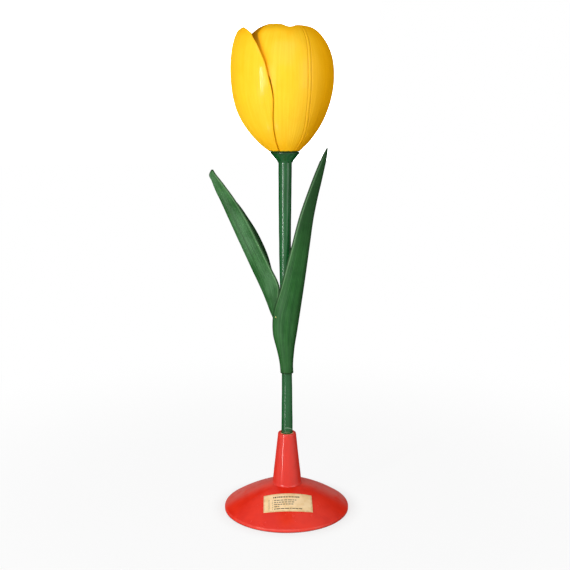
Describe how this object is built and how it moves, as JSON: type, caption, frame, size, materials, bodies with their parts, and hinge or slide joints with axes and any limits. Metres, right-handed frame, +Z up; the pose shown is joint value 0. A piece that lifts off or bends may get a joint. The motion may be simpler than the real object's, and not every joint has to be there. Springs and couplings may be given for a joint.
{
  "type": "botanical flower model",
  "caption": "Enlarged tulip flower on a leafy stem that stands in a turned round base, with a tepal that pulls off to show the stamens and a pistil that lifts out.",
  "frame": {"origin": "centre of the round base's flat underside", "axes": "+Z up along the neck and stem, -Y towards the label and the pictured front, +X to the viewer's right"},
  "size_m": [0.1755, 0.16, 0.6054],
  "materials": {
    "red_enamel": "glossy enamel paint on turned wood, a little scuffed",
    "cream_paper": "aged uncoated paper",
    "green_enamel": "glossy enamel paint on wood",
    "leaf_enamel": "satin paint on a moulded shell",
    "yellow_lacquer": "glossy paint on a moulded shell",
    "filament_green": "satin paint",
    "anther_purple": "matt paint",
    "ovary_green": "satin lacquer",
    "stigma_cream": "matt paint",
    "brass": "drawn wire"
  },
  "bodies": {
    "base": {"base_dome": "red_enamel", "base_neck": "red_enamel", "base_label": "cream_paper"},
    "flower_stem": {"stem": "green_enamel", "receptacle": "green_enamel", "leaf_left": "leaf_enamel", "leaf_right": "leaf_enamel", "tepal_front_right": "yellow_lacquer", "pin_front_right": "brass", "tepal_back": "yellow_lacquer", "pin_back": "brass", "tepal_inner_front": "yellow_lacquer", "pin_inner_front": "brass", "tepal_inner_right": "yellow_lacquer", "pin_inner_right": "brass", "tepal_inner_left": "yellow_lacquer", "pin_inner_left": "brass", "filament_1": "filament_green", "anther_1": "anther_purple", "filament_2": "filament_green", "anther_2": "anther_purple", "filament_3": "filament_green", "anther_3": "anther_purple", "filament_4": "filament_green", "anther_4": "anther_purple", "filament_5": "filament_green", "anther_5": "anther_purple", "filament_6": "filament_green", "anther_6": "anther_purple"},
    "front_left_tepal": {"tepal_front_left": "yellow_lacquer", "pin_front_left": "brass"},
    "pistil": {"ovary": "ovary_green", "stigma": "stigma_cream", "pistil_pin": "brass"}
  },
  "joints": [
    {"name": "stem_lift", "type": "slide", "parent": "base", "child": "flower_stem", "axis": [0, 0, 1], "range_m": [0, 0.075]},
    {"name": "tepal_pull", "type": "slide", "parent": "flower_stem", "child": "front_left_tepal", "axis": [-0.9728, -0.1022, 0.2079], "range_m": [0, 0.07]},
    {"name": "pistil_lift", "type": "slide", "parent": "flower_stem", "child": "pistil", "axis": [0, 0, 1], "range_m": [0, 0.03]}
  ]
}
